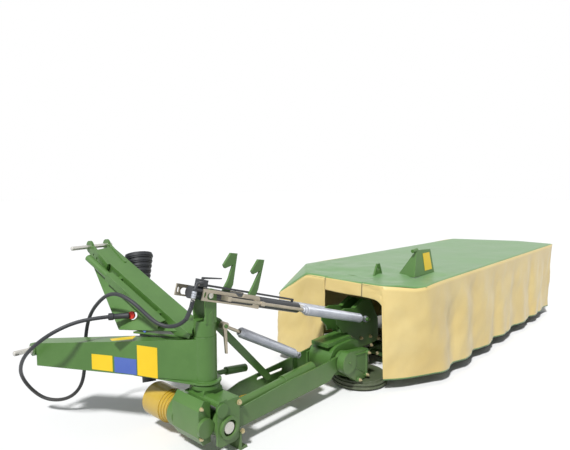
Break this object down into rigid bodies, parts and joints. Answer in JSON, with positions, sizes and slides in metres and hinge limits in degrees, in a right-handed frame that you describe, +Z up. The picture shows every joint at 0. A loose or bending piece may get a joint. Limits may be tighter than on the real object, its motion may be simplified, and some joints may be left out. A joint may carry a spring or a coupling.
{
  "type": "disc mower",
  "caption": "Rear-mounted side disc mower parked on its cutter bar, with three-point headstock, lift beam, relief springs and a cloth-covered guard deck over oval discs.",
  "frame": {"origin": "centre of the bounding box on the ground plane, measured without the hose", "axes": "+X outwards along the cutter bar, +Y forwards towards the tractor, +Z up"},
  "size_m": [4.7306, 1.531, 1.021],
  "materials": {
    "green_paint": "semi-gloss",
    "green_tarpaulin": "satin",
    "beige_curtain": "satin",
    "zinc_plate": "zinc plated",
    "spring_grey": "galvanised",
    "bright_steel": "machined",
    "black_paint": "semi-gloss",
    "black_rubber": "matt",
    "yellow_plastic": "satin",
    "disc_steel": "bare",
    "skid_steel": "bare"
  },
  "bodies": {
    "headstock": {"headstock_frame": "green_paint", "mast": "green_paint", "lower_link_pins": "bright_steel", "top_link_pin": "bright_steel", "stowed_stand": "green_paint", "hose_grip": "black_rubber", "hydraulic_hose": "black_rubber", "drive_shaft": "black_rubber"},
    "swing": {"column": "green_paint", "hinge_block": "green_paint", "input_housing": "green_paint", "pto_guard": "yellow_plastic", "link_pin": "bright_steel"},
    "input": {"input_shaft": "bright_steel"},
    "cylinder": {"lift_cylinder": "black_paint", "transport_hooks": "green_paint", "shut_off_valve": "black_paint"},
    "outer_rod": {"outer_rod": "bright_steel"},
    "beam": {"beam": "green_paint"},
    "stay_bar": {"stay_bar": "green_paint"},
    "spring_spindle": {"spring_spindle": "zinc_plate"},
    "lower_relief_spring": {"lower_relief_spring": "spring_grey"},
    "cutter": {"gearbox": "green_paint", "shoe_bracket": "green_paint", "inner_shoe": "green_paint", "cutter_bar": "green_paint", "skids": "skid_steel", "deck_frame": "green_paint", "deck_cover": "green_tarpaulin", "curtain_rear": "beige_curtain", "curtain_front": "beige_curtain", "curtain_inner": "beige_curtain", "curtain_outer": "beige_curtain", "fold_stop": "green_paint"},
    "guard_flap": {"guard_flap": "beige_curtain"},
    "upper_springs": {"upper_springs": "spring_grey", "lift_rod": "bright_steel"},
    "link_plates": {"link_plates": "zinc_plate"},
    "disc_1": {"disc_1": "disc_steel"},
    "disc_2": {"disc_2": "disc_steel"},
    "disc_3": {"disc_3": "disc_steel"},
    "disc_4": {"disc_4": "disc_steel"},
    "disc_5": {"disc_5": "disc_steel"},
    "disc_6": {"disc_6": "disc_steel"},
    "disc_7": {"disc_7": "disc_steel"}
  },
  "joints": [
    {"name": "breakaway_swing", "type": "hinge", "parent": "headstock", "child": "swing", "pos_m": [-1.72675, -0.17981, 0.47], "axis": [0, 0, -1], "range_deg": [0, 15]},
    {"name": "input_spin", "type": "hinge", "parent": "swing", "child": "input", "pos_m": [-1.79175, 0.02019, 0.165], "axis": [0, 1, 0], "continuous": true},
    {"name": "beam_lift", "type": "hinge", "parent": "swing", "child": "beam", "pos_m": [-1.72675, -0.17981, 0.15], "axis": [0, -1, 0], "range_deg": [-4, 12]},
    {"name": "cutter_fold", "type": "hinge", "parent": "beam", "child": "cutter", "pos_m": [-0.74675, -0.17981, 0.222], "axis": [0, -1, 0], "range_deg": [-12, 70]},
    {"name": "stay_swing", "type": "hinge", "parent": "swing", "child": "stay_bar", "pos_m": [-1.59675, -0.17981, 0.59], "axis": [0, -1, 0], "range_deg": [-5.85, 17.45]},
    {"name": "spindle_swing", "type": "hinge", "parent": "swing", "child": "spring_spindle", "pos_m": [-1.61475, -0.17981, 0.616], "axis": [0, -1, 0], "range_deg": [-3.56, 10.57]},
    {"name": "lower_spring_slide", "type": "slide", "parent": "spring_spindle", "child": "lower_relief_spring", "axis": [0.8825, 0, -0.4703], "range_m": [-0.0995, 0.0335]},
    {"name": "springs_swing", "type": "hinge", "parent": "cutter", "child": "upper_springs", "pos_m": [-0.41375, -0.17981, 0.418], "axis": [0, -1, 0], "range_deg": [-63.05, 10.85]},
    {"name": "inner_stroke", "type": "slide", "parent": "upper_springs", "child": "outer_rod", "axis": [0.9596, 0, -0.2814], "range_m": [-0.07527, 0.43666]},
    {"name": "outer_stroke", "type": "slide", "parent": "outer_rod", "child": "cylinder", "axis": [0.9596, 0, -0.2814], "range_m": [-0.04518, 0.13454]},
    {"name": "link_plates_slide", "type": "slide", "parent": "upper_springs", "child": "link_plates", "axis": [0.9596, 0, -0.2814], "range_m": [-0.05705, 0.33037]},
    {"name": "flap_open", "type": "hinge", "parent": "cutter", "child": "guard_flap", "pos_m": [-0.38205, -0.17981, 0.7], "axis": [0, 1, 0], "range_deg": [-23.45, 136.55]},
    {"name": "disc_1_spin", "type": "hinge", "parent": "cutter", "child": "disc_1", "pos_m": [-0.26175, -0.04981, 0.14], "axis": [0, 0, 1], "continuous": true},
    {"name": "disc_2_spin", "type": "hinge", "parent": "cutter", "child": "disc_2", "pos_m": [0.10025, -0.04981, 0.14], "axis": [0, 0, 1], "continuous": true},
    {"name": "disc_3_spin", "type": "hinge", "parent": "cutter", "child": "disc_3", "pos_m": [0.46225, -0.04981, 0.14], "axis": [0, 0, 1], "continuous": true},
    {"name": "disc_4_spin", "type": "hinge", "parent": "cutter", "child": "disc_4", "pos_m": [0.82425, -0.04981, 0.14], "axis": [0, 0, 1], "continuous": true},
    {"name": "disc_5_spin", "type": "hinge", "parent": "cutter", "child": "disc_5", "pos_m": [1.18625, -0.04981, 0.14], "axis": [0, 0, 1], "continuous": true},
    {"name": "disc_6_spin", "type": "hinge", "parent": "cutter", "child": "disc_6", "pos_m": [1.54825, -0.04981, 0.14], "axis": [0, 0, 1], "continuous": true},
    {"name": "disc_7_spin", "type": "hinge", "parent": "cutter", "child": "disc_7", "pos_m": [1.91025, -0.04981, 0.14], "axis": [0, 0, 1], "continuous": true}
  ],
  "couplings": [
    {"joint": "inner_stroke", "follows": "cutter_fold", "m_per_rad": 0.357},
    {"joint": "outer_stroke", "follows": "beam_lift", "m_per_rad": 0.64},
    {"joint": "stay_swing", "follows": "beam_lift", "ratio": 1.45},
    {"joint": "spindle_swing", "follows": "beam_lift", "ratio": 0.877},
    {"joint": "lower_spring_slide", "follows": "beam_lift", "m_per_rad": -0.4727},
    {"joint": "springs_swing", "follows": "cutter_fold", "ratio": -0.9},
    {"joint": "link_plates_slide", "follows": "cutter_fold", "m_per_rad": 0.27},
    {"joint": "flap_open", "follows": "cutter_fold", "ratio": 1.95},
    {"joint": "disc_2_spin", "follows": "disc_1_spin", "ratio": -1},
    {"joint": "disc_3_spin", "follows": "disc_1_spin", "ratio": 1},
    {"joint": "disc_4_spin", "follows": "disc_1_spin", "ratio": -1},
    {"joint": "disc_5_spin", "follows": "disc_1_spin", "ratio": 1},
    {"joint": "disc_6_spin", "follows": "disc_1_spin", "ratio": -1},
    {"joint": "disc_7_spin", "follows": "disc_1_spin", "ratio": 1}
  ]
}
